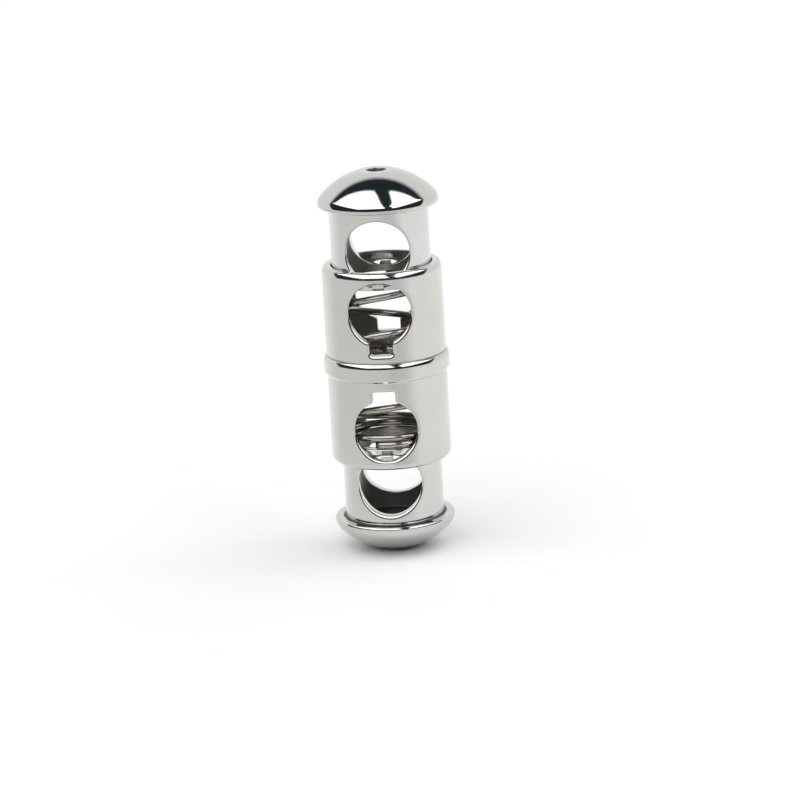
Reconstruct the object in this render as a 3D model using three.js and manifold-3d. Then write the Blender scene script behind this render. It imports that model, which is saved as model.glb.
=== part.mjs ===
// A double-ended metal cord lock: a two-shell barrel, a sprung tube plunger in each end and a domed cap on
// each plunger. A cord passes through the cross holes when a plunger is pressed home and its hole meets the
// barrel's. Millimetres, +Z up along the barrel, cross holes along Y, z = 0 at the flat of the lower cap.
import * as THREE from 'three';
import { mergeVertices } from 'three/addons/utils/BufferGeometryUtils.js';
import Module from 'manifold-3d';

const wasm = await Module();
wasm.setup();

// Barrel
const BARREL_DIAMETER = 12.0;
const BARREL_LENGTH = 20.0;
const BARREL_WALL = 0.95;
const BARREL_END_ROUND = 0.5;
const BARREL_HOLE_DIAMETER = 6.2;
const HOLE_FROM_END = 4.05; // barrel end to its hole's centre, and cap face to the plunger hole's centre
const SLOT_WIDTH = 2.27;

// Collar around the joint between the two shells
const COLLAR_DIAMETER = 12.6;
const COLLAR_HEIGHT = 2.0;
const COLLAR_TOP = 0.9; // above the barrel's middle
const COLLAR_ROUND = 0.35;
const COLLAR_TAPER = 0.35; // height of the taper under the collar
const SLOT_LAND = 0.85; // wall left between a slot's end and the collar
const SPIGOT_WALL = 0.5;
const SPIGOT_LENGTH = 1.5;
const SPIGOT_CLEARANCE = 0.03;

// Plungers
const PLUNGER_CLEARANCE = 0.1; // on the radius, in the barrel's bore
const PLUNGER_WALL = 1.0;
const PLUNGER_HOLE_DIAMETER = 6.3;
const PLUNGER_LAND = 0.6; // wall left between the hole and the plunger's inner end
const FLANGE_WIDTH = 0.5;
const FLANGE_THICKNESS = 0.4;
const NIB_WIDTH = 1.15;
const NIB_HEIGHT = 0.85;
const NIB_REACH = 0.8; // how far a stop nib stands out of its tube
const NIB_CLEARANCE = 0.05;

// Caps
const CAP_DIAMETER = 12.1;
const CAP_HEIGHT = 3.4;
const CAP_RIM_HEIGHT = 0.7;
const CAP_RIM_ROUND = 0.3;
const CAP_WALL = 0.7;
const CAP_FLAT_RADIUS = 1.8;
const CAP_LIP_THICKNESS = 0.3; // rolled edge that holds the flange
const CAP_LIP_OVERLAP = 0.25;
const FLANGE_CLEARANCE = 0.05;
const DIMPLE_RADIUS = 1.0;
const DIMPLE_FLOOR_RADIUS = 0.45;
const DIMPLE_DEPTH = 0.45;

// Spring: it leans in the barrel, so an open coil drops on its left half and lies almost level on its right
const WIRE_DIAMETER = 0.7;
const SPRING_TURNS = 5.54;
const OPEN_COILS = 4;
const SEAT_DROP = 0.44; // over the first half turn, under the upper plunger
const LEVEL_DROP = 0.13; // over the right half of an open coil
const CLOSING_SHARE = 0.83; // the lowest open coil's drop against the others'
const CLOSED_PITCH = 0.71;
const SEAT_GAP = 0.02;

// Facets
const ROUND_SEGMENTS = 48;
const HOLE_SEGMENTS = 40;
const ARC_STEPS = 3;
const DOME_STEPS = 8;
const INSIDE_STEPS = 3;
const WIRE_QUARTERS = 4; // each gives two sides
const STEPS_PER_TURN = 22;
const CUT_REACH = 20; // length of a cutter, well past both walls

// Derived sizes, measured from the barrel's middle
const barrelRadius = BARREL_DIAMETER / 2;
const boreRadius = barrelRadius - BARREL_WALL;
const barrelEnd = BARREL_LENGTH / 2;
const barrelHoleRadius = BARREL_HOLE_DIAMETER / 2;
const barrelHoleHeight = barrelEnd - HOLE_FROM_END;
const collarBottom = COLLAR_TOP - COLLAR_HEIGHT;
const spigotRadius = boreRadius + SPIGOT_WALL;
const socketRadius = spigotRadius + SPIGOT_CLEARANCE;
const socketFloor = COLLAR_TOP - SPIGOT_LENGTH - SPIGOT_CLEARANCE;

const plungerRadius = boreRadius - PLUNGER_CLEARANCE;
const plungerBore = plungerRadius - PLUNGER_WALL;
const plungerHoleRadius = PLUNGER_HOLE_DIAMETER / 2;
const holeEdgeAtNib = Math.sqrt(barrelHoleRadius ** 2 - (NIB_WIDTH / 2) ** 2);
const nibTop = barrelHoleHeight + holeEdgeAtNib - NIB_CLEARANCE;
const plungerInnerEnd = nibTop - NIB_HEIGHT;
const plungerHoleHeight = plungerInnerEnd + PLUNGER_LAND + plungerHoleRadius;
const capFace = plungerHoleHeight + HOLE_FROM_END;

const flangeRadius = plungerRadius + FLANGE_WIDTH;
const pocketRadius = flangeRadius + FLANGE_CLEARANCE;
const pocketTop = CAP_LIP_THICKNESS + FLANGE_THICKNESS + FLANGE_CLEARANCE;
const lipRadius = flangeRadius - CAP_LIP_OVERLAP;
const middle = capFace + CAP_HEIGHT; // height of the barrel's middle above the lower cap's flat

function metal(color, roughness) {
  return new THREE.MeshStandardMaterial({ color, roughness, metalness: 1 });
}

// A THREE geometry as a solid that can be joined and cut.
function toSolid(geometry) {
  const bare = geometry.clone();
  bare.deleteAttribute('normal');
  bare.deleteAttribute('uv');
  const merged = mergeVertices(bare, 1e-5);
  const vertProperties = new Float32Array(merged.attributes.position.array);
  const triVerts = new Uint32Array(merged.index.array);
  return new wasm.Manifold(new wasm.Mesh({ numProp: 3, vertProperties, triVerts }));
}

function fromSolid(solid) {
  const mesh = solid.getMesh();
  const geometry = new THREE.BufferGeometry();
  geometry.setAttribute('position', new THREE.BufferAttribute(mesh.vertProperties, 3));
  geometry.setIndex(new THREE.BufferAttribute(mesh.triVerts, 1));
  geometry.computeVertexNormals();
  return geometry;
}

// Points on an arc in the profile plane, x out from the axis and y along it, both ends included.
function arc(centreX, centreY, radius, fromAngle, toAngle, steps) {
  const points = [];
  for (let i = 0; i <= steps; i++) {
    const angle = fromAngle + ((toAngle - fromAngle) * i) / steps;
    points.push([centreX + radius * Math.cos(angle), centreY + radius * Math.sin(angle)]);
  }
  return points;
}

// A solid of revolution about Z. The profile runs counter-clockwise, x out from the axis and y up it.
function turned(profile) {
  const points = profile.map(([x, y]) => new THREE.Vector2(x, y));
  const onAxis = profile[0][0] === 0;
  if (!onAxis) points.push(points[0].clone());
  const geometry = new THREE.LatheGeometry(points, ROUND_SEGMENTS);
  geometry.rotateX(Math.PI / 2);
  return toSolid(geometry);
}

function crossCylinder(radius, height) {
  const geometry = new THREE.CylinderGeometry(radius, radius, CUT_REACH, HOLE_SEGMENTS);
  geometry.translate(0, 0, height);
  return toSolid(geometry);
}

function crossSlot(width, fromHeight, toHeight) {
  const geometry = new THREE.BoxGeometry(width, CUT_REACH, Math.abs(toHeight - fromHeight));
  geometry.translate(0, 0, (fromHeight + toHeight) / 2);
  return toSolid(geometry);
}

function barrelUpperShell() {
  const rounded = arc(barrelRadius - BARREL_END_ROUND, barrelEnd - BARREL_END_ROUND, BARREL_END_ROUND,
    0, Math.PI / 2, ARC_STEPS);
  const wall = turned([
    [boreRadius, COLLAR_TOP - SPIGOT_LENGTH],
    [spigotRadius, COLLAR_TOP - SPIGOT_LENGTH],
    [spigotRadius, COLLAR_TOP],
    [barrelRadius, COLLAR_TOP],
    ...rounded,
    [boreRadius, barrelEnd],
  ]);
  const hole = crossCylinder(barrelHoleRadius, barrelHoleHeight);
  const slot = crossSlot(SLOT_WIDTH, COLLAR_TOP + SLOT_LAND, barrelHoleHeight);
  return wall.subtract(hole).subtract(slot);
}

function barrelLowerShell() {
  const collarRadius = COLLAR_DIAMETER / 2;
  const rounded = arc(barrelRadius - BARREL_END_ROUND, -barrelEnd + BARREL_END_ROUND, BARREL_END_ROUND,
    -Math.PI / 2, 0, ARC_STEPS);
  const collarEdge = arc(collarRadius - COLLAR_ROUND, COLLAR_TOP - COLLAR_ROUND, COLLAR_ROUND,
    0, Math.PI / 2, ARC_STEPS);
  const wall = turned([
    [boreRadius, -barrelEnd],
    ...rounded,
    [barrelRadius, collarBottom],
    [collarRadius, collarBottom + COLLAR_TAPER],
    ...collarEdge,
    [socketRadius, COLLAR_TOP],
    [socketRadius, socketFloor],
    [boreRadius, socketFloor],
  ]);
  const hole = crossCylinder(barrelHoleRadius, -barrelHoleHeight);
  const slot = crossSlot(SLOT_WIDTH, collarBottom - SLOT_LAND, -barrelHoleHeight);
  return wall.subtract(hole).subtract(slot);
}

// A wedge that stands out of the tube on one side: it stops against the edge of the barrel's hole, and
// slides down the hole and into the slot as the plunger is pressed.
function stopNib(side) {
  const root = plungerRadius - PLUNGER_WALL / 2;
  const tip = plungerRadius + NIB_REACH;
  const outline = new THREE.Shape();
  outline.moveTo(root, plungerInnerEnd);
  outline.lineTo(plungerRadius, plungerInnerEnd);
  outline.lineTo(tip, plungerInnerEnd + NIB_HEIGHT / 2);
  outline.lineTo(tip, nibTop);
  outline.lineTo(root, nibTop);
  outline.closePath();
  const geometry = new THREE.ExtrudeGeometry(outline, { depth: NIB_WIDTH, bevelEnabled: false });
  geometry.translate(0, 0, -NIB_WIDTH / 2);
  geometry.rotateX(Math.PI / 2);
  geometry.rotateZ((side * Math.PI) / 2);
  return toSolid(geometry);
}

function plungerTube() {
  const flangeBottom = capFace + CAP_LIP_THICKNESS;
  const flangeTop = flangeBottom + FLANGE_THICKNESS;
  const wall = turned([
    [plungerBore, plungerInnerEnd],
    [plungerRadius, plungerInnerEnd],
    [plungerRadius, flangeBottom],
    [flangeRadius, flangeBottom],
    [flangeRadius, flangeTop],
    [plungerBore, flangeTop],
  ]);
  const hole = crossCylinder(plungerHoleRadius, plungerHoleHeight);
  return wall.subtract(hole).add(stopNib(1)).add(stopNib(-1));
}

// The dome is a sphere through the rim's top edge and the edge of the small flat. Inside, the cap is hollow,
// and its rolled lip closes under the plunger's flange.
function domedCap() {
  const capRadius = CAP_DIAMETER / 2;
  const rise = CAP_HEIGHT - CAP_RIM_HEIGHT;
  const centreDrop = (capRadius ** 2 - CAP_FLAT_RADIUS ** 2 - rise ** 2) / (2 * rise);
  const domeRadius = Math.hypot(capRadius, centreDrop);
  const domeCentre = capFace + CAP_RIM_HEIGHT - centreDrop;
  const ceiling = capFace + CAP_HEIGHT - DIMPLE_DEPTH - CAP_WALL;
  const innerRadius = domeRadius - CAP_WALL;
  const rimEdge = arc(capRadius - CAP_RIM_ROUND, capFace + CAP_RIM_ROUND, CAP_RIM_ROUND,
    -Math.PI / 2, 0, ARC_STEPS);
  const dome = arc(0, domeCentre, domeRadius, Math.asin(centreDrop / domeRadius),
    Math.acos(CAP_FLAT_RADIUS / domeRadius), DOME_STEPS);
  const inside = arc(0, domeCentre, innerRadius, Math.asin((ceiling - domeCentre) / innerRadius),
    Math.asin((capFace + pocketTop - domeCentre) / innerRadius), INSIDE_STEPS);
  const floor = capFace + CAP_HEIGHT - DIMPLE_DEPTH;
  return turned([
    [0, ceiling],
    ...inside,
    [pocketRadius, capFace + pocketTop],
    [pocketRadius, capFace + CAP_LIP_THICKNESS],
    [lipRadius, capFace + CAP_LIP_THICKNESS],
    [lipRadius, capFace],
    ...rimEdge,
    ...dome,
    [DIMPLE_RADIUS, capFace + CAP_HEIGHT],
    [DIMPLE_FLOOR_RADIUS, floor],
    [0, floor],
  ]);
}

// One wire from plunger to plunger, counted in turns from its upper end, which lies behind. Every half turn
// ends in front or behind at a set height, and the wire eases from one such height to the next.
class SpringCurve extends THREE.Curve {
  constructor() {
    super();
    const top = plungerInnerEnd - SEAT_GAP - WIRE_DIAMETER / 2;
    const openHeight = 2 * top - SEAT_DROP - CLOSED_PITCH - (OPEN_COILS - 1) * LEVEL_DROP;
    const coilDrop = openHeight / (OPEN_COILS - 1 + CLOSING_SHARE);
    this.heights = [top, top - SEAT_DROP];
    for (let coil = 1; coil < OPEN_COILS; coil++) {
      const behind = this.heights.at(-1) - coilDrop;
      this.heights.push(behind, behind - LEVEL_DROP);
    }
    const lastOpen = this.heights.length - 1;
    this.heights.push(CLOSED_PITCH - top, CLOSED_PITCH - top, -top, -top, -top);
    this.falls = this.heights.map((height, i) => {
      const open = i > 0 && i <= lastOpen;
      return open ? this.heights[i - 1] - this.heights[i + 1] : 0;
    });
    this.falls[0] = 2 * SEAT_DROP;
  }

  heightAfter(turns) {
    const i = Math.floor(turns * 2);
    const share = turns * 2 - i;
    const rest = 1 - share;
    const level = this.heights[i] + (this.heights[i + 1] - this.heights[i]) * share ** 2 * (3 - 2 * share);
    return level - this.falls[i] * share * rest ** 2 / 2 + this.falls[i + 1] * share ** 2 * rest / 2;
  }

  getPoint(t, target = new THREE.Vector3()) {
    const turns = t * SPRING_TURNS;
    const angle = Math.PI / 2 - turns * 2 * Math.PI;
    const radius = boreRadius - PLUNGER_CLEARANCE - PLUNGER_WALL / 2;
    return target.set(radius * Math.cos(angle), radius * Math.sin(angle), this.heightAfter(turns));
  }
}

function spring() {
  const section = new THREE.Shape();
  section.absarc(0, 0, WIRE_DIAMETER / 2, 0, 2 * Math.PI);
  const geometry = new THREE.ExtrudeGeometry(section, {
    steps: Math.round(SPRING_TURNS * STEPS_PER_TURN),
    curveSegments: WIRE_QUARTERS,
    extrudePath: new SpringCurve(),
  });
  return toSolid(geometry);
}

const model = new THREE.Group();

function place(name, solid, material, upsideDown) {
  const geometry = fromSolid(solid);
  if (upsideDown) geometry.rotateX(Math.PI);
  const mesh = new THREE.Mesh(geometry, material);
  mesh.name = name;
  mesh.position.z = middle;
  model.add(mesh);
}

place('barrel_upper_shell', barrelUpperShell(), metal(0xcdccc6, 0.16));
place('barrel_lower_shell', barrelLowerShell(), metal(0xcbcac4, 0.16));
place('spring', spring(), metal(0x9a958c, 0.22));
for (const [end, upsideDown] of [['upper', false], ['lower', true]]) {
  place(`${end}_plunger_tube`, plungerTube(), metal(0xcfcec9, 0.14), upsideDown);
  place(`${end}_cap`, domedCap(), metal(0xd2d1cc, 0.1), upsideDown);
}

export default model;
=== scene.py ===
import math

import bmesh
import bpy
import numpy as np
from mathutils import Matrix, Vector


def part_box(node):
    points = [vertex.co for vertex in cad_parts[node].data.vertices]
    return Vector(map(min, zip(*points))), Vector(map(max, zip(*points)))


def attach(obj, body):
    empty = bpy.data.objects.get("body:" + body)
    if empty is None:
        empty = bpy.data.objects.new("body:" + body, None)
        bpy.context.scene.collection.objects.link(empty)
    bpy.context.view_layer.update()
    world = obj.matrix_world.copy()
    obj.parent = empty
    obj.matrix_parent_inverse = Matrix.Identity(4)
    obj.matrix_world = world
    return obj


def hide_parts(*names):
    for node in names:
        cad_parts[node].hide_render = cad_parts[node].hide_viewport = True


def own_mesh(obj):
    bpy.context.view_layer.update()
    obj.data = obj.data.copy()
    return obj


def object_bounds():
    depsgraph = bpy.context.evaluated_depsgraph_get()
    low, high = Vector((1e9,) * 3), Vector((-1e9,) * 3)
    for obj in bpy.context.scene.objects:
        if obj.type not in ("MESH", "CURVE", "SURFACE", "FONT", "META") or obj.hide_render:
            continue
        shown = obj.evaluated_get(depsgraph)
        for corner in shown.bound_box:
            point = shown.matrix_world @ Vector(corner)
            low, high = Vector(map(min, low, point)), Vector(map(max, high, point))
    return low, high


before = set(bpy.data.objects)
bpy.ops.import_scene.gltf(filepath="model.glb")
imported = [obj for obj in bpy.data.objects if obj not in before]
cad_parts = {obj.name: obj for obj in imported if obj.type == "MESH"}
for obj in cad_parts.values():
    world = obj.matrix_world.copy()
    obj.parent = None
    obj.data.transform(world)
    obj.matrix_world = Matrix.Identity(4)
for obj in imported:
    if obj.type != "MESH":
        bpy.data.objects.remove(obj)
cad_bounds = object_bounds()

MM = 0.001
TAU = 2 * math.pi

# ---------------------------------------------------------------- sizes from the frame, in metres
shell_low, shell_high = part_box("barrel_upper_shell")
collar_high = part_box("barrel_lower_shell")[1]
tube_low, tube_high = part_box("upper_plunger_tube")
cap_low, cap_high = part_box("upper_cap")
spring_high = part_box("spring")[1]

MIDDLE = (cad_bounds[0].z + cad_bounds[1].z) / 2
BARREL_RADIUS = shell_high.x
BARREL_END = shell_high.z - MIDDLE
COLLAR_RADIUS = collar_high.x
COLLAR_TOP = collar_high.z - MIDDLE
SPIGOT_END = shell_low.z - MIDDLE
CAP_FACE = cap_low.z - MIDDLE
CAP_TOP = cap_high.z - MIDDLE
CAP_RADIUS = cap_high.x
INNER_END = tube_low.z - MIDDLE
FLANGE_TOP = tube_high.z - MIDDLE
FLANGE_RADIUS = tube_high.x
NIB_TIP = tube_high.y
SPRING_RADIUS = spring_high.y

# ---------------------------------------------------------------- sizes the boxes don't give
BARREL_WALL = 0.95 * MM
BARREL_END_ROUND = 0.5 * MM
BARREL_END_ROUND_HEIGHT = 0.75 * MM
BARREL_HOLE_RADIUS = 3.1 * MM
HOLE_FROM_END = 4.05 * MM
SLOT_HALF_WIDTH = 1.135 * MM
SLOT_LAND = 0.85 * MM
SLOT_CORNER = 0.22 * MM
SLOT_MOUTH_ROUND = 0.4 * MM
COLLAR_HEIGHT = 2.0 * MM
COLLAR_ROUND = 0.35 * MM
COLLAR_ROUND_HEIGHT = 0.6 * MM
COLLAR_TAPER = 0.35 * MM
SOCKET_WALL = 0.5 * MM
SOCKET_GAP = 0.03 * MM
PLUNGER_GAP = 0.1 * MM
PLUNGER_WALL = 1.0 * MM
PLUNGER_HOLE_RADIUS = 3.15 * MM
NIB_WIDTH = 1.15 * MM
NIB_HEIGHT = 0.85 * MM
CAP_RIM_HEIGHT = 0.7 * MM
RIM_EDGE = 0.25 * MM
CAP_WALL = 0.7 * MM
CAP_FLAT_RADIUS = 1.8 * MM
CAP_LIP = 0.3 * MM
LIP_OVERLAP = 0.25 * MM
FLANGE_THICKNESS = 0.4 * MM
FLANGE_GAP = 0.05 * MM
DIMPLE_RADIUS = 1.0 * MM
DIMPLE_FLOOR = 0.45 * MM
DIMPLE_DEPTH = 0.45 * MM
DIMPLE_EDGE = 0.06 * MM
WIRE_RADIUS = 0.35 * MM
SPRING_TURNS = 5.54
OPEN_COILS = 4
SEAT_DROP = 0.44 * MM
LEVEL_DROP = 0.13 * MM
CLOSING_SHARE = 0.83
CLOSED_PITCH = 0.71 * MM
SEAT_GAP = 0.02 * MM

HOLE_LIP = 0.25 * MM  # depth of the rounded edge of a hole
HOLE_LIP_REACH = 0.4 * MM  # how far outside the hole that edge starts
LIP_MARGIN = 0.04 * MM  # flat wall left between that start and the end of the wall
INNER_LIP = 0.1 * MM
EDGE_ROUND = 0.12 * MM
CAP_LIP_ROUND = 0.1 * MM
NIB_ROOT = 0.3 * MM  # how deep a nib reaches into the tube's wall
NIB_FOOT = 0.05 * MM  # how far above the tube's end a nib starts
NIB_BEVEL = 0.1 * MM

BORE_RADIUS = BARREL_RADIUS - BARREL_WALL
PLUNGER_RADIUS = BORE_RADIUS - PLUNGER_GAP
PLUNGER_BORE = PLUNGER_RADIUS - PLUNGER_WALL
COLLAR_BOTTOM = COLLAR_TOP - COLLAR_HEIGHT

# ---------------------------------------------------------------- how finely the meshes are divided
AROUND = 192  # divisions round every turned surface
LIP_STEPS = 7
INNER_LIP_STEPS = 3
WALL_STEPS = 3
PATCH_RINGS = 7  # rings of faces between a hole's edge and the square patch around it
PATCH_CROWDING = 1.3  # above 1, the rings lie closer together near the hole
SHELL_WINDOW, TUBE_WINDOW = 22, 32  # divisions from a hole's middle to the side of its patch
SHELL_ROW, TUBE_ROW = 0.22 * MM, 0.2 * MM
UPPER_WALL_START = 0.12 * MM  # plain wall between the collar and the first patch row
LOWER_WALL_START = 0.05 * MM
TUBE_WALL_STOP = 0.15 * MM
CEILING_RING = 0.3 * MM  # the ring of small faces in the middle of a cap's ceiling
WIRE_STEPS = 56  # per turn
WIRE_SIDES = 20
WELD = 2e-7
SLIVER = 1e-8

# the third slot is the cap's dimple, which takes a near-black colour: painted shade in the recess
OUTSIDE, INSIDE, SHADED_DIMPLE = 0, 1, 2  # material slots of a piece

# ---------------------------------------------------------------- plating
TONE_NOISE = (180, 2)  # scale per metre, and detail
GRAIN_NOISE = (2600, 4)
RIPPLE_NOISE = (420, 1.5)
NOISE_LOW, NOISE_HIGH = 0.3, 0.7  # the stretch that most of the noise lies in
WARM_TINT = (0.985, 0.965, 0.94)
COOL_TINT = (1.01, 1.02, 1.04)
GRIT_SHARE = 0.12  # height of the fine grit, as a share of the ripple's
GRIT_STRENGTH = 0.5

# ---------------------------------------------------------------- room, lights and camera
FLOOR_HALF_SIZE = 1.5
FLOOR_WHITE = 0.86
FLOOR_ROUGHNESS = 0.6
FLOOR_SPECULAR = 0.2

# the card that front_card() lays round the lock
CARD_START, CARD_STOP, CARD_POSTS = -235, 20, 52  # degrees from +X, and points along the ring
CARD_INNER, CARD_OUTER, CARD_HEIGHT = 8 * MM, 600 * MM, 0.3 * MM
CARD_LEVELS = ((0.0, 0.83), (0.3, 0.83), (0.5, 0.8), (0.62, 0.73), (0.8, 0.76), (0.93, 1.0), (1.0, 1.04))
CARD_FULL = 3  # it is at full strength from this many inner radii outwards
CARD_FADE = 0.33  # its ends fade from this far before the lock's sides to as far behind, over the distance
CARD_LEFT_SHARE = 0.45  # how much further back its left end reaches, and its right end less far

# what studio_world() paints: a pitch is in degrees, 0 in front of the lock, 90 overhead and 180 behind it
PANEL_LIGHT = 2.1
WALL_LIGHT = 0.92
ROOM_LIGHT = 0.036
ROOM_COLOR = (0.55, 0.87, 1.0, 1)
PANELS_NEAR = (25, 30)  # pitch at which the panels start
PANELS_FAR = (0.04, 0.15)  # depth over height at which they end
PANELS_FAR_SLANT = 0.3
PANELS_LEFT, PANELS_LEFT_BLUR = -1.4, 0.05  # distance to the side over height
PANELS_RIGHT, PANELS_RIGHT_BLUR = 1.55, 0.06
GAP_PITCH, FLARE_PITCH = (25, 96), (25, 45)
GAP_LEFT = (0.4, -0.06, 0.25)  # near end, far end and flare
GAP_RIGHT = (0.7, 0.23, 0.6)
GAP_BLUR = 0.03
FAR_WALL = (120, 132)  # pitch
HORIZON = (-1, 1)  # pitch
LEAST_HEIGHT = 0.05

KEY_SIZE = 0.5
KEY_ENERGY = 0.9
KEY_PLACE = (0.35, 0.25, 0.6)
KEY_AIM = (0, 0, 0.02)

CAMERA_AZIMUTH, CAMERA_ELEVATION, CAMERA_ROLL = 4.8, 14.6, -3.2
CAMERA_DISTANCE = 380 * MM
CAMERA_RIGHT, CAMERA_DOWN = 1.33 * MM, 4.12 * MM
SENSOR_WIDTH = 36
PIXELS_PER_MM, FRAME_WIDTH = 10.0, 800


# ---------------------------------------------------------------- mesh making
class Surface:
    """Collects grids of points as quads, then welds them into one mesh."""

    def __init__(self):
        self.points, self.faces, self.finish, self.count = [], [], [], 0

    def grid(self, points, finish=OUTSIDE, closed=False, flip=False):
        """points is rows x columns x 3. closed joins the last column to the first."""
        points = np.asarray(points, float)
        rows, columns = points.shape[:2]
        index = np.arange(rows * columns).reshape(rows, columns) + self.count
        right = np.roll(index, -1, axis=1)
        last = columns if closed else columns - 1
        quads = np.stack([index[:-1, :last], right[:-1, :last], right[1:, :last], index[1:, :last]], -1)
        quads = quads.reshape(-1, 4)
        self.faces.append(quads[:, ::-1] if flip else quads)
        self.finish.append(np.full(len(quads), finish))
        self.points.append(points.reshape(-1, 3))
        self.count += rows * columns

    def turn(self, profile, finish=OUTSIDE):
        """A profile of (radius, height) turned about Z."""
        angle = np.arange(AROUND) * TAU / AROUND - math.pi / 2
        profile = np.asarray(profile, float)
        ring = np.stack([np.cos(angle), np.sin(angle), np.zeros(AROUND)], -1)
        rows = profile[:, None, :1] * ring[None] + profile[:, None, 1:] * np.array([0, 0, 1.0])
        self.grid(rows, finish, closed=True)

    def mesh(self, name, upside_down=False):
        points = np.concatenate(self.points)
        if upside_down:
            points = points * np.array([1.0, -1.0, -1.0])
        points = points + np.array([0, 0, MIDDLE])
        mesh = bpy.data.meshes.new(name)
        mesh.from_pydata(points.tolist(), [], np.concatenate(self.faces).tolist())
        mesh.polygons.foreach_set("material_index", np.concatenate(self.finish).astype(np.int32))
        work = bmesh.new()
        work.from_mesh(mesh)
        bmesh.ops.remove_doubles(work, verts=work.verts, dist=WELD)
        bmesh.ops.dissolve_degenerate(work, edges=work.edges, dist=SLIVER)
        bmesh.ops.recalc_face_normals(work, faces=work.faces)
        for face in work.faces:
            face.smooth = True
        work.to_mesh(mesh)
        work.free()
        return mesh


def arc(centre, radius, start, stop, steps, height=None):
    """Points (x, y) on an arc, angles in degrees, both ends included. height is a second radius, along y."""
    angle = np.radians(np.linspace(start, stop, steps + 1))
    height = radius if height is None else height
    return np.stack([centre[0] + radius * np.cos(angle), centre[1] + height * np.sin(angle)], -1)


def line(start, stop, steps):
    share = np.linspace(0, 1, steps + 1)[:, None]
    return np.asarray(start) * (1 - share) + np.asarray(stop) * share


def spaced(loop, count):
    """count points at equal steps along a closed outline, with the way out of the hole at each."""
    closed = np.concatenate([loop, loop[:1]])
    step = np.hypot(*np.diff(closed, axis=0).T)
    keep = np.concatenate([[True], step > 1e-12])
    closed = closed[keep]
    along = np.concatenate([[0], np.cumsum(np.hypot(*np.diff(closed, axis=0).T))])
    want = np.linspace(0, along[-1], count, endpoint=False)

    def at(distance):
        distance = np.mod(distance, along[-1])
        return np.stack([np.interp(distance, along, closed[:, k]) for k in (0, 1)], -1)

    reach = 0.03 * MM
    tangent = at(want + reach) - at(want - reach)
    tangent /= np.linalg.norm(tangent, axis=1)[:, None]
    return at(want), np.stack([tangent[:, 1], -tangent[:, 0]], -1)


def round_outline(radius, height):
    return arc((0, height), radius, -90, 270, 400)[:-1]


def keyhole_outline(radius, height, slot_end):
    """A round hole with a slot down to slot_end, starting at the middle of the slot's end."""
    depth = height - slot_end
    half, corner, mouth = SLOT_HALF_WIDTH, SLOT_CORNER, SLOT_MOUTH_ROUND
    mouth_x = half + mouth
    mouth_z = -math.sqrt((radius + mouth) ** 2 - mouth_x ** 2)
    turn = math.degrees(math.atan2(-mouth_z, -mouth_x))
    start = math.degrees(math.atan2(mouth_z, mouth_x))
    side = np.concatenate([
        line((0, -depth), (half - corner, -depth), 20),
        arc((half - corner, -depth + corner), corner, -90, 0, 12)[1:],
        line((half, -depth + corner), (half, mouth_z), 20)[1:],
        arc((mouth_x, mouth_z), mouth, 180, turn, 12)[1:],
        arc((0, 0), radius, start, 90, 200)[1:],
    ])
    other = side[-2:0:-1] * np.array([-1, 1])
    return np.concatenate([side, other]) + np.array([0, height])


def on_cylinder(across, height, radius, inset=0.0):
    """Front-wall points at (across, height), inset from the cylinder's surface towards the back."""
    return np.stack([across, inset - np.sqrt(radius ** 2 - across ** 2), height], -1)


def lip_reach(edge, away, low, high):
    """How far out the rounded lip starts at each point, which is less where the wall's end is near."""
    up = away[:, 1:]
    room = np.where(up > 0, high - edge[:, 1:], edge[:, 1:] - low) - LIP_MARGIN
    return np.minimum(HOLE_LIP_REACH, room / np.maximum(np.abs(up), 0.01))


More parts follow.
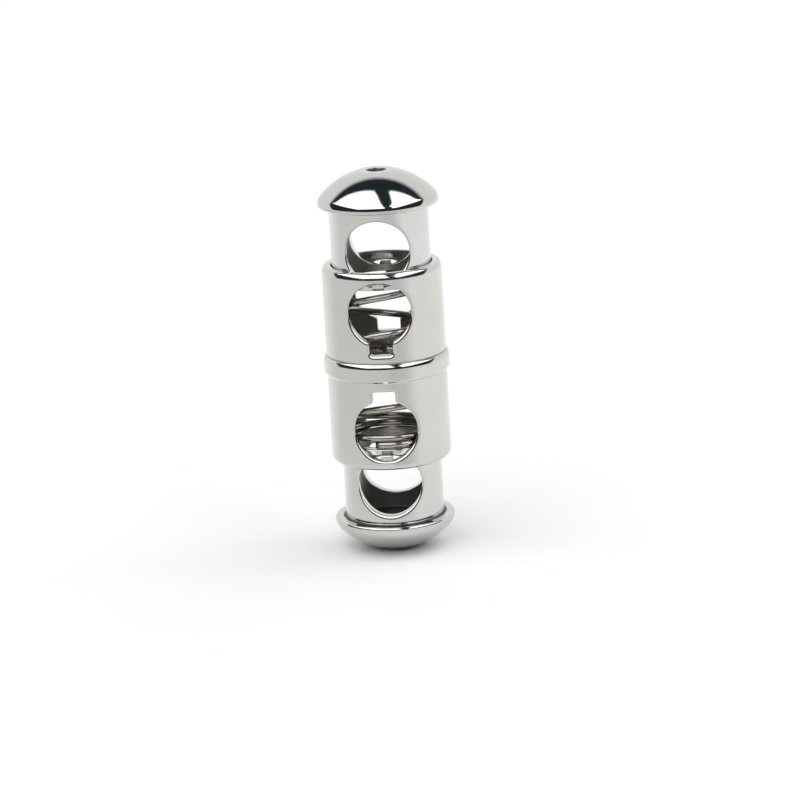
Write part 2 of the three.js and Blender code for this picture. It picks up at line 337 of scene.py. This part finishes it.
def pierced_wall(surface, outer, inner, low, high, outline, half_columns, row_height):
    """A round wall from low to high with one outline cut through its front and its rear, edges rounded."""
    rows = max(8, round((high - low) / row_height))
    columns = 2 * half_columns
    level = np.linspace(low, high, rows + 1)
    step = TAU / AROUND
    window = (np.arange(columns + 1) - half_columns) * step
    border_angle = np.concatenate([
        window[half_columns:-1], np.full(rows, window[-1]), window[:0:-1],
        np.full(rows, window[0]), window[:half_columns]])
    border_level = np.concatenate([
        np.full(half_columns, low), level[:-1], np.full(columns, high),
        level[:0:-1], np.full(half_columns, low)])
    edge, away = spaced(outline, len(border_angle))
    reach = lip_reach(edge, away, low, high)
    gap = np.arange(half_columns, AROUND // 2 - half_columns + 1) * step

    faces = ((outer, reach, OUTSIDE, False), (inner, INNER_LIP, INSIDE, True))
    for radius, lip, finish, flip in faces:
        start = edge + away * lip
        start_angle = np.arcsin(start[:, 0] / radius)
        share = (np.linspace(0, 1, PATCH_RINGS + 1) ** PATCH_CROWDING)[:, None]
        angle = start_angle * (1 - share) + border_angle * share
        height = start[:, 1] * (1 - share) + border_level * share
        patch = np.stack([radius * np.sin(angle), -radius * np.cos(angle), height], -1)
        side_angle, side_level = np.meshgrid(gap, level)
        side = np.stack([radius * np.sin(side_angle), -radius * np.cos(side_angle), side_level], -1)
        for turn in (1, -1):
            about = np.array([turn, turn, 1])
            surface.grid(patch * about, finish, closed=True, flip=flip)
            surface.grid(side * about, finish, flip=not flip)

    rings = []
    for angle in np.linspace(0, math.pi / 2, LIP_STEPS + 1):
        out = edge + away * reach * (1 - math.sin(angle))
        rings.append(on_cylinder(out[:, 0], out[:, 1], outer, HOLE_LIP * (1 - math.cos(angle))))
    front = on_cylinder(edge[:, 0], edge[:, 1], outer, HOLE_LIP)
    back = on_cylinder(edge[:, 0], edge[:, 1], inner, -INNER_LIP)
    for share in np.linspace(0, 1, WALL_STEPS + 1)[1:]:
        rings.append(front * (1 - share) + back * share)
    for angle in np.linspace(0, math.pi / 2, INNER_LIP_STEPS + 1)[1:]:
        out = edge + away * INNER_LIP * (1 - math.cos(angle))
        rings.append(on_cylinder(out[:, 0], out[:, 1], inner, -INNER_LIP * (1 - math.sin(angle))))
    for turn in (1, -1):
        surface.grid(np.array(rings) * np.array([turn, turn, 1]), OUTSIDE, closed=True, flip=True)


def new_piece(name, mesh, body, replaced=(), materials=()):
    piece = bpy.data.objects.new(name, mesh)
    bpy.context.scene.collection.objects.link(piece)
    for material in materials:
        mesh.materials.append(material)
    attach(piece, body)
    if replaced:
        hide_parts(*replaced)
    return piece


# ---------------------------------------------------------------- pieces
def barrel_end_profile(end, wall_top):
    """From the outer wall over the rounded end to the bore. end is the end's height, above wall_top."""
    return np.concatenate([
        arc((BARREL_RADIUS - BARREL_END_ROUND, end - BARREL_END_ROUND_HEIGHT), BARREL_END_ROUND, 0, 90, 12,
            BARREL_END_ROUND_HEIGHT),
        arc((BORE_RADIUS + EDGE_ROUND, end - EDGE_ROUND), EDGE_ROUND, 90, 180, 4),
        line((BORE_RADIUS, end - EDGE_ROUND), (BORE_RADIUS, wall_top), 2)[1:],
    ])


def upper_shell():
    surface = Surface()
    wall_low, wall_high = COLLAR_TOP + UPPER_WALL_START, BARREL_END - BARREL_END_ROUND_HEIGHT
    hole_height = BARREL_END - HOLE_FROM_END
    outline = keyhole_outline(BARREL_HOLE_RADIUS, hole_height, COLLAR_TOP + SLOT_LAND)
    pierced_wall(surface, BARREL_RADIUS, BORE_RADIUS, wall_low, wall_high, outline, SHELL_WINDOW, SHELL_ROW)
    surface.turn(barrel_end_profile(BARREL_END, wall_high))
    spigot = BORE_RADIUS + SOCKET_WALL
    surface.turn(np.concatenate([
        line((BARREL_RADIUS, wall_low), (BARREL_RADIUS, COLLAR_TOP), 2),
        line((BARREL_RADIUS, COLLAR_TOP), (spigot, COLLAR_TOP), 2)[1:],
        line((spigot, COLLAR_TOP), (spigot, SPIGOT_END), 4)[1:],
        line((spigot, SPIGOT_END), (BORE_RADIUS, SPIGOT_END), 2)[1:],
        line((BORE_RADIUS, SPIGOT_END), (BORE_RADIUS, wall_low), 4)[1:],
    ]), INSIDE)
    return surface


def lower_shell():
    """Made upside down, so its open end points up like the upper shell's."""
    surface = Surface()
    wall_low, wall_high = -COLLAR_BOTTOM + LOWER_WALL_START, BARREL_END - BARREL_END_ROUND_HEIGHT
    hole_height = BARREL_END - HOLE_FROM_END
    outline = keyhole_outline(BARREL_HOLE_RADIUS, hole_height, -COLLAR_BOTTOM + SLOT_LAND)
    pierced_wall(surface, BARREL_RADIUS, BORE_RADIUS, wall_low, wall_high, outline, SHELL_WINDOW, SHELL_ROW)
    surface.turn(barrel_end_profile(BARREL_END, wall_high))
    socket = BORE_RADIUS + SOCKET_WALL + SOCKET_GAP
    floor = -(SPIGOT_END - SOCKET_GAP)
    surface.turn(np.concatenate([
        line((BARREL_RADIUS, wall_low), (BARREL_RADIUS, -COLLAR_BOTTOM), 1),
        line((BARREL_RADIUS, -COLLAR_BOTTOM), (COLLAR_RADIUS, -COLLAR_BOTTOM - COLLAR_TAPER), 4)[1:],
        line((COLLAR_RADIUS, -COLLAR_BOTTOM - COLLAR_TAPER),
             (COLLAR_RADIUS, -COLLAR_TOP + COLLAR_ROUND_HEIGHT), 5)[1:],
        arc((COLLAR_RADIUS - COLLAR_ROUND, -COLLAR_TOP + COLLAR_ROUND_HEIGHT), COLLAR_ROUND, 0, -90, 12,
            COLLAR_ROUND_HEIGHT)[1:],
        line((COLLAR_RADIUS - COLLAR_ROUND, -COLLAR_TOP), (socket, -COLLAR_TOP), 3)[1:],
    ]))
    surface.turn(np.concatenate([
        line((socket, -COLLAR_TOP), (socket, floor), 4),
        line((socket, floor), (BORE_RADIUS, floor), 2)[1:],
        line((BORE_RADIUS, floor), (BORE_RADIUS, wall_low), 4)[1:],
    ]), INSIDE)
    return surface


def plunger_tube():
    surface = Surface()
    wall_low, wall_high = INNER_END + EDGE_ROUND, CAP_FACE - TUBE_WALL_STOP
    hole_height = CAP_FACE - HOLE_FROM_END
    outline = round_outline(PLUNGER_HOLE_RADIUS, hole_height)
    pierced_wall(surface, PLUNGER_RADIUS, PLUNGER_BORE, wall_low, wall_high, outline, TUBE_WINDOW, TUBE_ROW)
    surface.turn(np.concatenate([
        arc((PLUNGER_RADIUS - EDGE_ROUND, wall_low), EDGE_ROUND, 0, -90, 4),
        arc((PLUNGER_BORE + EDGE_ROUND, wall_low), EDGE_ROUND, -90, -180, 4),
    ]))
    surface.turn(np.concatenate([
        line((PLUNGER_RADIUS, wall_high), (PLUNGER_RADIUS, CAP_FACE + CAP_LIP), 3),
        line((PLUNGER_RADIUS, CAP_FACE + CAP_LIP), (FLANGE_RADIUS, CAP_FACE + CAP_LIP), 3)[1:],
        line((FLANGE_RADIUS, CAP_FACE + CAP_LIP), (FLANGE_RADIUS, FLANGE_TOP), 2)[1:],
        line((FLANGE_RADIUS, FLANGE_TOP), (PLUNGER_BORE, FLANGE_TOP), 3)[1:],
    ]))
    surface.turn(line((PLUNGER_BORE, FLANGE_TOP), (PLUNGER_BORE, wall_high), 4), INSIDE)
    return surface


def stop_nib():
    """A small wedge on the front of the tube's inner end."""
    foot, top = INNER_END + NIB_FOOT, INNER_END + NIB_HEIGHT
    root = PLUNGER_RADIUS - NIB_ROOT
    half = NIB_WIDTH / 2
    outline = [
        (root, foot), (PLUNGER_RADIUS, foot),
        (NIB_TIP, INNER_END + NIB_HEIGHT / 2), (NIB_TIP, top), (root, top)]
    points = [(x, -y, z + MIDDLE) for x in (-half, half) for y, z in outline]
    count = len(outline)
    faces = [tuple(range(count))[::-1], tuple(range(count, 2 * count))]
    for i in range(count):
        j = (i + 1) % count
        faces.append((i, j, j + count, i + count))
    mesh = bpy.data.meshes.new("nib")
    mesh.from_pydata(points, [], faces)
    work = bmesh.new()
    work.from_mesh(mesh)
    bmesh.ops.recalc_face_normals(work, faces=work.faces)
    bmesh.ops.bevel(work, geom=list(work.edges), offset=NIB_BEVEL, segments=3, profile=0.5, affect="EDGES")
    for face in work.faces:
        face.smooth = True
    work.to_mesh(mesh)
    work.free()
    return mesh


def cap_rim_round(dome_radius, drop):
    """Radius of the round that starts upright above the cap's lower edge and runs smoothly into the dome.
    drop is how far the dome's centre lies below the rim's top."""
    up = RIM_EDGE - CAP_RIM_HEIGHT + drop
    return (dome_radius ** 2 - CAP_RADIUS ** 2 - up ** 2) / (2 * (dome_radius - CAP_RADIUS))


def domed_cap():
    surface = Surface()
    rise = CAP_TOP - CAP_FACE - CAP_RIM_HEIGHT
    drop = (CAP_RADIUS ** 2 - CAP_FLAT_RADIUS ** 2 - rise ** 2) / (2 * rise)
    radius = math.hypot(CAP_RADIUS, drop)
    centre = CAP_FACE + CAP_RIM_HEIGHT - drop
    ceiling = CAP_TOP - DIMPLE_DEPTH - CAP_WALL
    inside_radius = radius - CAP_WALL
    pocket = FLANGE_RADIUS + FLANGE_GAP
    pocket_top = CAP_FACE + CAP_LIP + FLANGE_THICKNESS + FLANGE_GAP
    lip = FLANGE_RADIUS - LIP_OVERLAP
    rim_round = cap_rim_round(radius, drop)
    rim_stop = math.degrees(math.atan2(RIM_EDGE - CAP_RIM_HEIGHT + drop, CAP_RADIUS - rim_round))
    dome_stop = math.degrees(math.acos(CAP_FLAT_RADIUS / radius))
    outside = np.concatenate([
        arc((lip + CAP_LIP_ROUND, CAP_FACE + CAP_LIP_ROUND), CAP_LIP_ROUND, 180, 270, 4),
        arc((CAP_RADIUS - RIM_EDGE, CAP_FACE + RIM_EDGE), RIM_EDGE, -90, 0, 6),
        arc((CAP_RADIUS - rim_round, CAP_FACE + RIM_EDGE), rim_round, 0, rim_stop, 16)[1:],
        arc((0, centre), radius, rim_stop, dome_stop, 48)[1:],
        line((CAP_FLAT_RADIUS, CAP_TOP), (DIMPLE_RADIUS + DIMPLE_EDGE, CAP_TOP), 5)[1:],
        arc((DIMPLE_RADIUS + DIMPLE_EDGE, CAP_TOP - DIMPLE_EDGE), DIMPLE_EDGE, 90, 150, 5)[1:],
    ])
    dimple_floor = CAP_TOP - DIMPLE_DEPTH
    dimple = np.concatenate([
        outside[-1:],
        line((DIMPLE_RADIUS, CAP_TOP - DIMPLE_EDGE), (DIMPLE_FLOOR, dimple_floor), 6),
        line((DIMPLE_FLOOR, dimple_floor), (0.0, dimple_floor), 4)[1:],
    ])
    # the dimple's faces get the near-black finish, painted shade in the recess, darker than the plating round
    # it
    surface.turn(dimple, SHADED_DIMPLE)
    inside_start = math.degrees(math.asin((pocket_top - centre) / inside_radius))
    inside_stop = math.degrees(math.asin((ceiling - centre) / inside_radius))
    surface.turn(outside)
    surface.turn(np.concatenate([
        line((lip, CAP_FACE + CAP_LIP_ROUND), (lip, CAP_FACE + CAP_LIP), 2),
        line((lip, CAP_FACE + CAP_LIP), (pocket, CAP_FACE + CAP_LIP), 2)[1:],
        line((pocket, CAP_FACE + CAP_LIP), (pocket, pocket_top), 2)[1:],
        arc((0, centre), inside_radius, inside_start, inside_stop, 16),
        line((CEILING_RING, ceiling), (0.0, ceiling), 1),
    ]), INSIDE)
    return surface


def spring_heights():
    """Heights of the wire at every half turn from its upper end, and how fast it falls there, per turn.
    The spring leans, so an open coil drops on one half of its turn and runs almost level on the other."""
    top = INNER_END - SEAT_GAP - WIRE_RADIUS
    open_height = 2 * top - SEAT_DROP - CLOSED_PITCH - (OPEN_COILS - 1) * LEVEL_DROP
    coil_drop = open_height / (OPEN_COILS - 1 + CLOSING_SHARE)
    heights = [top, top - SEAT_DROP]
    for _ in range(1, OPEN_COILS):
        heights.append(heights[-1] - coil_drop)
        heights.append(heights[-1] - LEVEL_DROP)
    last_open = len(heights) - 1
    heights += [CLOSED_PITCH - top, CLOSED_PITCH - top, -top, -top, -top]
    falls = [2 * SEAT_DROP] + [0.0] * (len(heights) - 1)
    for i in range(1, last_open + 1):
        falls[i] = heights[i - 1] - heights[i + 1]
    return np.array(heights), np.array(falls)


def wire_height(turns):
    heights, falls = spring_heights()
    i = np.clip(np.floor(turns * 2).astype(int), 0, len(heights) - 2)
    share = turns * 2 - i
    rest = 1 - share
    level = heights[i] + (heights[i + 1] - heights[i]) * share ** 2 * (3 - 2 * share)
    return level - falls[i] * share * rest ** 2 / 2 + falls[i + 1] * share ** 2 * rest / 2


def wire_centre(turns):
    angle = math.pi / 2 - turns * TAU
    radius = SPRING_RADIUS - WIRE_RADIUS
    return np.stack([radius * np.cos(angle), radius * np.sin(angle), wire_height(turns)], -1)


def spring_half(start, stop):
    """The wire between two turn counts, counted from the top, as a closed tube."""
    turns = np.linspace(start, stop, round((stop - start) * WIRE_STEPS) + 1)
    path = wire_centre(turns)
    tangent = np.gradient(path, turns, axis=0)
    tangent /= np.linalg.norm(tangent, axis=1)[:, None]
    outward = path * np.array([1, 1, 0])
    outward /= np.linalg.norm(outward, axis=1)[:, None]
    upward = np.cross(outward, tangent)
    around = (np.arange(WIRE_SIDES) * TAU / WIRE_SIDES)[None, :, None]
    ring = np.cos(around) * outward[:, None] + np.sin(around) * upward[:, None]
    rows = path[:, None] + WIRE_RADIUS * ring
    first, last = [], []
    for share in (0.0, 0.5, 0.9):
        first.append(path[0] + WIRE_RADIUS * share * ring[0])
        last.insert(0, path[-1] + WIRE_RADIUS * share * ring[-1])
    surface = Surface()
    surface.grid(np.concatenate([np.array(first), rows, np.array(last)]), OUTSIDE, closed=True)
    return surface


def middle_turn():
    """The turn count at which the wire passes the barrel's middle."""
    turns = np.linspace(0, SPRING_TURNS, 4001)
    below = np.nonzero(wire_height(turns) < 0)[0][0]
    return float(turns[below])


# ---------------------------------------------------------------- materials
def plated_metal(name, color, roughness, ripple, grain, metallic=1.0):
    """Bright plating: the tone drifts a little, fine grain varies the gloss, and ripples bend reflections."""
    material = bpy.data.materials.new(name)
    material.use_nodes = True
    nodes, links = material.node_tree.nodes, material.node_tree.links
    shader = nodes["Principled BSDF"]
    shader.inputs["Metallic"].default_value = metallic
    place = nodes.new("ShaderNodeTexCoord")

    def noise(scale, detail):
        texture = nodes.new("ShaderNodeTexNoise")
        texture.inputs["Scale"].default_value = scale
        texture.inputs["Detail"].default_value = detail
        links.new(place.outputs["Object"], texture.inputs["Vector"])
        return texture

    drift = noise(*TONE_NOISE)
    tone = nodes.new("ShaderNodeValToRGB")
    tone.color_ramp.elements[0].position = NOISE_LOW
    tone.color_ramp.elements[1].position = NOISE_HIGH
    for element, tint in zip(tone.color_ramp.elements, (WARM_TINT, COOL_TINT)):
        element.color = [level * share for level, share in zip(color, tint)] + [1]
    links.new(drift.outputs["Fac"], tone.inputs["Fac"])
    links.new(tone.outputs["Color"], shader.inputs["Base Color"])

    fine = noise(*GRAIN_NOISE)
    gloss = nodes.new("ShaderNodeMapRange")
    gloss.inputs["From Min"].default_value = NOISE_LOW
    gloss.inputs["From Max"].default_value = NOISE_HIGH
    gloss.inputs["To Min"].default_value = roughness * (1 - grain)
    gloss.inputs["To Max"].default_value = roughness * (1 + grain)
    links.new(fine.outputs["Fac"], gloss.inputs["Value"])
    links.new(gloss.outputs["Result"], shader.inputs["Roughness"])

    slow = noise(*RIPPLE_NOISE)
    bump = nodes.new("ShaderNodeBump")
    bump.inputs["Strength"].default_value = 1.0
    bump.inputs["Distance"].default_value = ripple * MM
    links.new(slow.outputs["Fac"], bump.inputs["Height"])
    grit = nodes.new("ShaderNodeBump")
    grit.inputs["Strength"].default_value = GRIT_STRENGTH
    grit.inputs["Distance"].default_value = ripple * GRIT_SHARE * MM
    links.new(fine.outputs["Fac"], grit.inputs["Height"])
    links.new(bump.outputs["Normal"], grit.inputs["Normal"])
    links.new(grit.outputs["Normal"], shader.inputs["Normal"])
    return material


def build_pieces():
    barrel = plated_metal("barrel_nickel", (0.64, 0.63, 0.60), 0.12, 0.004, 0.4)
    plunger = plated_metal("plunger_nickel", (0.65, 0.645, 0.625), 0.11, 0.004, 0.4)
    cap = plated_metal("cap_nickel", (0.62, 0.61, 0.59), 0.06, 0.003, 0.4)
    wire = plated_metal("spring_steel", (0.42, 0.4, 0.37), 0.17, 0.01, 0.5)
    bore = plated_metal("bore_metal", (0.4, 0.387, 0.365), 0.38, 0.02, 0.3, metallic=0.75)
    # near-black colour for the dimple in each cap: painted shade in the recess, not a darker plating
    dimple_shade = plated_metal("dimple_painted_shade", (0.12, 0.112, 0.10), 0.3, 0.004, 0.4)

    shells = (("barrel_upper", upper_shell, False), ("barrel_lower", lower_shell, True))
    for name, shell, upside_down in shells:
        new_piece(name, shell().mesh(name, upside_down), "barrel",
                  [f"{name}_shell"], [barrel, bore])
    for end, upside_down in (("upper", False), ("lower", True)):
        body = f"{end}_plunger"
        new_piece(f"{end}_tube", plunger_tube().mesh(f"{end}_tube", upside_down), body,
                  [f"{end}_plunger_tube"], [plunger, bore])
        new_piece(f"{end}_dome", domed_cap().mesh(f"{end}_dome", upside_down), body,
                  [f"{end}_cap"], [cap, bore, dimple_shade])
        for side, turn in (("front", 1), ("rear", -1)):
            mesh = stop_nib()
            mesh.transform(Matrix.Diagonal((turn, turn, 1, 1)))
            if upside_down:
                to_middle = Matrix.Translation((0, 0, MIDDLE))
                mesh.transform(to_middle @ Matrix.Diagonal((1, -1, -1, 1)) @ to_middle.inverted())
            new_piece(f"{end}_{side}_nib", mesh, body, (), [plunger])

    split = middle_turn()
    for end, start, stop in (("upper", 0, split), ("lower", split, SPRING_TURNS)):
        coil = new_piece(f"spring_{end}_half", spring_half(start, stop).mesh(f"spring_{end}_half"), "barrel",
                         ["spring"], [wire])
        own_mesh(coil)


# ---------------------------------------------------------------- studio
def white_floor():
    mesh = bpy.data.meshes.new("floor")
    size = FLOOR_HALF_SIZE
    corners = [(-size, -size, 0), (size, -size, 0), (size, size, 0), (-size, size, 0)]
    mesh.from_pydata(corners, [], [(0, 1, 2, 3)])
    floor = bpy.data.objects.new("floor", mesh)
    bpy.context.scene.collection.objects.link(floor)
    material = bpy.data.materials.new("white_table")
    material.use_nodes = True
    shader = material.node_tree.nodes["Principled BSDF"]
    shader.inputs["Base Color"].default_value = (FLOOR_WHITE, FLOOR_WHITE, FLOOR_WHITE, 1)
    shader.inputs["Roughness"].default_value = FLOOR_ROUGHNESS
    shader.inputs["Specular IOR Level"].default_value = FLOOR_SPECULAR
    mesh.materials.append(material)


def front_card():
    """Part of a ring just over the table, from the rear left round the front to the right, seen only in
    reflections. It is duller ahead and brighter to the right, and fades out near the lock and at its ends."""
    angle = np.linspace(math.radians(CARD_START), math.radians(CARD_STOP), CARD_POSTS)
    points, faces = [], []
    for turn in angle:
        for radius in (CARD_INNER, CARD_OUTER):
            points.append((radius * math.cos(turn), radius * math.sin(turn), CARD_HEIGHT))
    for i in range(len(angle) - 1):
        faces.append((2 * i, 2 * i + 1, 2 * i + 3, 2 * i + 2))
    mesh = bpy.data.meshes.new("front_card")
    mesh.from_pydata(points, [], faces)
    card = bpy.data.objects.new("front_card", mesh)
    bpy.context.scene.collection.objects.link(card)
    for kind in ("camera", "diffuse", "transmission", "volume_scatter", "shadow"):
        setattr(card, f"visible_{kind}", False)
    material = bpy.data.materials.new("card_glow")
    material.use_nodes = True
    nodes, links = material.node_tree.nodes, material.node_tree.links
    nodes.clear()
    glow = nodes.new("ShaderNodeEmission")
    result = nodes.new("ShaderNodeOutputMaterial")
    place = nodes.new("ShaderNodeTexCoord")
    flat = nodes.new("ShaderNodeVectorMath")
    flat.operation = "MULTIPLY"
    flat.inputs[1].default_value = (1, 1, 0)
    unit = nodes.new("ShaderNodeVectorMath")
    unit.operation = "NORMALIZE"
    split = nodes.new("ShaderNodeSeparateXYZ")
    shift = nodes.new("ShaderNodeMapRange")
    shift.inputs["From Min"].default_value = -1
    ramp = nodes.new("ShaderNodeValToRGB")
    elements = ramp.color_ramp.elements
    while len(elements) < len(CARD_LEVELS):
        elements.new(0.5)
    for element, (position, level) in zip(elements, CARD_LEVELS):
        element.position = position
        element.color = (level, level, level, 1)
    links.new(place.outputs["Object"], flat.inputs[0])
    links.new(flat.outputs[0], unit.inputs[0])
    links.new(unit.outputs[0], split.inputs[0])
    links.new(split.outputs["X"], shift.inputs["Value"])
    links.new(shift.outputs["Result"], ramp.inputs["Fac"])
    links.new(ramp.outputs["Color"], glow.inputs["Color"])
    near = nodes.new("ShaderNodeVectorMath")
    near.operation = "LENGTH"
    fade_near = nodes.new("ShaderNodeMapRange")
    fade_near.inputs["From Min"].default_value = CARD_INNER
    fade_near.inputs["From Max"].default_value = CARD_FULL * CARD_INNER
    fade_side = nodes.new("ShaderNodeMapRange")
    fade_side.inputs["From Min"].default_value = CARD_FADE
    fade_side.inputs["From Max"].default_value = -CARD_FADE
    turned = nodes.new("ShaderNodeMath")
    turned.operation = "MULTIPLY_ADD"
    turned.inputs[1].default_value = CARD_LEFT_SHARE
    share = nodes.new("ShaderNodeMath")
    share.operation = "MULTIPLY"
    clear = nodes.new("ShaderNodeBsdfTransparent")
    mix = nodes.new("ShaderNodeMixShader")
    links.new(flat.outputs[0], near.inputs[0])
    links.new(near.outputs["Value"], fade_near.inputs["Value"])
    links.new(split.outputs["X"], turned.inputs[0])
    links.new(split.outputs["Y"], turned.inputs[2])
    links.new(turned.outputs[0], fade_side.inputs["Value"])
    links.new(fade_near.outputs["Result"], share.inputs[0])
    links.new(fade_side.outputs["Result"], share.inputs[1])
    links.new(share.outputs[0], mix.inputs["Fac"])
    links.new(clear.outputs[0], mix.inputs[1])
    links.new(glow.outputs["Emission"], mix.inputs[2])
    links.new(mix.outputs[0], result.inputs["Surface"])
    mesh.materials.append(material)


def studio_world():
    """A white room as bright metal sees it: two large soft panels overhead with a gap between them, a dark
    stretch behind the panels, a pale far wall, and a dark side of the room in front."""
    world = bpy.data.worlds.new("studio")
    bpy.context.scene.world = world
    world.use_nodes = True
    nodes, links = world.node_tree.nodes, world.node_tree.links
    background = nodes["Background"]
    place = nodes.new("ShaderNodeTexCoord")
    split = nodes.new("ShaderNodeSeparateXYZ")
    links.new(place.outputs["Generated"], split.inputs["Vector"])

    def math_node(operation, first, second=None):
        node = nodes.new("ShaderNodeMath")
        node.operation = operation
        for slot, value in zip(node.inputs, (first, second)):
            if value is None:
                continue
            if isinstance(value, (int, float)):
                slot.default_value = value
            else:
                links.new(value, slot)
        return node.outputs[0]

    def step(value, start, stop):
        node = nodes.new("ShaderNodeMapRange")
        node.interpolation_type = "SMOOTHSTEP"
        node.inputs["From Min"].default_value = start
        node.inputs["From Max"].default_value = stop
        links.new(value, node.inputs["Value"])
        return node.outputs["Result"]

    def blend(value, start, stop, from_value, to_value):
        """A straight change from one value to another, flat outside start and stop."""
        node = nodes.new("ShaderNodeMapRange")
        limits = {"From Min": start, "From Max": stop, "To Min": from_value, "To Max": to_value}
        for slot, number in limits.items():
            node.inputs[slot].default_value = number
        links.new(value, node.inputs["Value"])
        return node.outputs["Result"]

    def gap_edge(near, far, flare):
        """One edge of the gap between the panels, from their near end to their far end, flared near."""
        return math_node("ADD", blend(pitch, *GAP_PITCH, near, far), blend(pitch, *FLARE_PITCH, flare, 0))

    def beyond(value, edge, softness):
        return step(math_node("SUBTRACT", value, edge), -softness, softness)

    back = math_node("MULTIPLY", split.outputs["Y"], -1.0)
    pitch = math_node("ARCTAN2", split.outputs["Z"], back)
    pitch = math_node("MULTIPLY", pitch, 180 / math.pi)
    height = math_node("MAXIMUM", split.outputs["Z"], LEAST_HEIGHT)
    lean = math_node("DIVIDE", split.outputs["X"], height)
    depth = math_node("DIVIDE", split.outputs["Y"], height)

    slant = math_node("MULTIPLY", math_node("ABSOLUTE", lean), PANELS_FAR_SLANT)
    past_far_edge = step(math_node("SUBTRACT", depth, slant), *PANELS_FAR)
    deep = math_node("MULTIPLY", step(pitch, *PANELS_NEAR), math_node("SUBTRACT", 1.0, past_far_edge))
    left_panel = math_node("MULTIPLY", beyond(lean, PANELS_LEFT, PANELS_LEFT_BLUR),
                           math_node("SUBTRACT", 1.0, beyond(lean, gap_edge(*GAP_LEFT), GAP_BLUR)))
    right_panel = math_node("MULTIPLY", beyond(lean, gap_edge(*GAP_RIGHT), GAP_BLUR),
                            math_node("SUBTRACT", 1.0, beyond(lean, PANELS_RIGHT, PANELS_RIGHT_BLUR)))
    panels = math_node("MULTIPLY", deep, math_node("ADD", left_panel, right_panel))
    far_wall = step(pitch, *FAR_WALL)
    under = math_node("SUBTRACT", 1.0, step(pitch, *HORIZON))
    light = math_node("MULTIPLY", panels, PANEL_LIGHT)
    light = math_node("ADD", light, math_node("MULTIPLY", far_wall, WALL_LIGHT))
    light = math_node("ADD", light, math_node("MULTIPLY", under, WALL_LIGHT))
    links.new(light, background.inputs["Strength"])
    background.inputs["Color"].default_value = (1, 1, 1, 1)
    room = nodes.new("ShaderNodeBackground")
    room.inputs["Color"].default_value = ROOM_COLOR
    room.inputs["Strength"].default_value = ROOM_LIGHT
    both = nodes.new("ShaderNodeAddShader")
    links.new(background.outputs["Background"], both.inputs[0])
    links.new(room.outputs["Background"], both.inputs[1])
    links.new(both.outputs["Shader"], nodes["World Output"].inputs["Surface"])


def soft_lights():
    data = bpy.data.lights.new("key", "AREA")
    data.shape = "DISK"
    data.size = KEY_SIZE
    data.energy = KEY_ENERGY
    key = bpy.data.objects.new("key", data)
    key.location = KEY_PLACE
    key.rotation_euler = (Vector(KEY_AIM) - key.location).to_track_quat("-Z", "Y").to_euler()
    key.visible_glossy = False
    bpy.context.scene.collection.objects.link(key)


def camera():
    """A long lens a little above the lock and to its right, rolled so that the lock leans to the left."""
    azimuth, elevation = math.radians(CAMERA_AZIMUTH), math.radians(CAMERA_ELEVATION)
    roll = math.radians(CAMERA_ROLL)
    forward = Vector((-math.sin(azimuth) * math.cos(elevation), math.cos(azimuth) * math.cos(elevation),
                      -math.sin(elevation)))
    level = Vector((math.cos(azimuth), math.sin(azimuth), 0))
    rise = level.cross(forward)
    right = level * math.cos(roll) + rise * math.sin(roll)
    up = rise * math.cos(roll) - level * math.sin(roll)
    data = bpy.data.cameras.new("camera")
    data.sensor_width = SENSOR_WIDTH
    data.lens = PIXELS_PER_MM / MM * CAMERA_DISTANCE / FRAME_WIDTH * data.sensor_width
    data.clip_start, data.clip_end = 0.01, 10
    shot = bpy.data.objects.new("camera", data)
    place = Vector((0, 0, MIDDLE)) - forward * CAMERA_DISTANCE + right * CAMERA_RIGHT - up * CAMERA_DOWN
    axes = Matrix((right, up, -forward)).transposed().to_4x4()
    shot.matrix_world = Matrix.Translation(place) @ axes
    bpy.context.scene.collection.objects.link(shot)
    bpy.context.scene.camera = shot


camera()
studio_world()
soft_lights()
white_floor()
front_card()
build_pieces()

bpy.context.scene.view_settings.view_transform = "Standard"
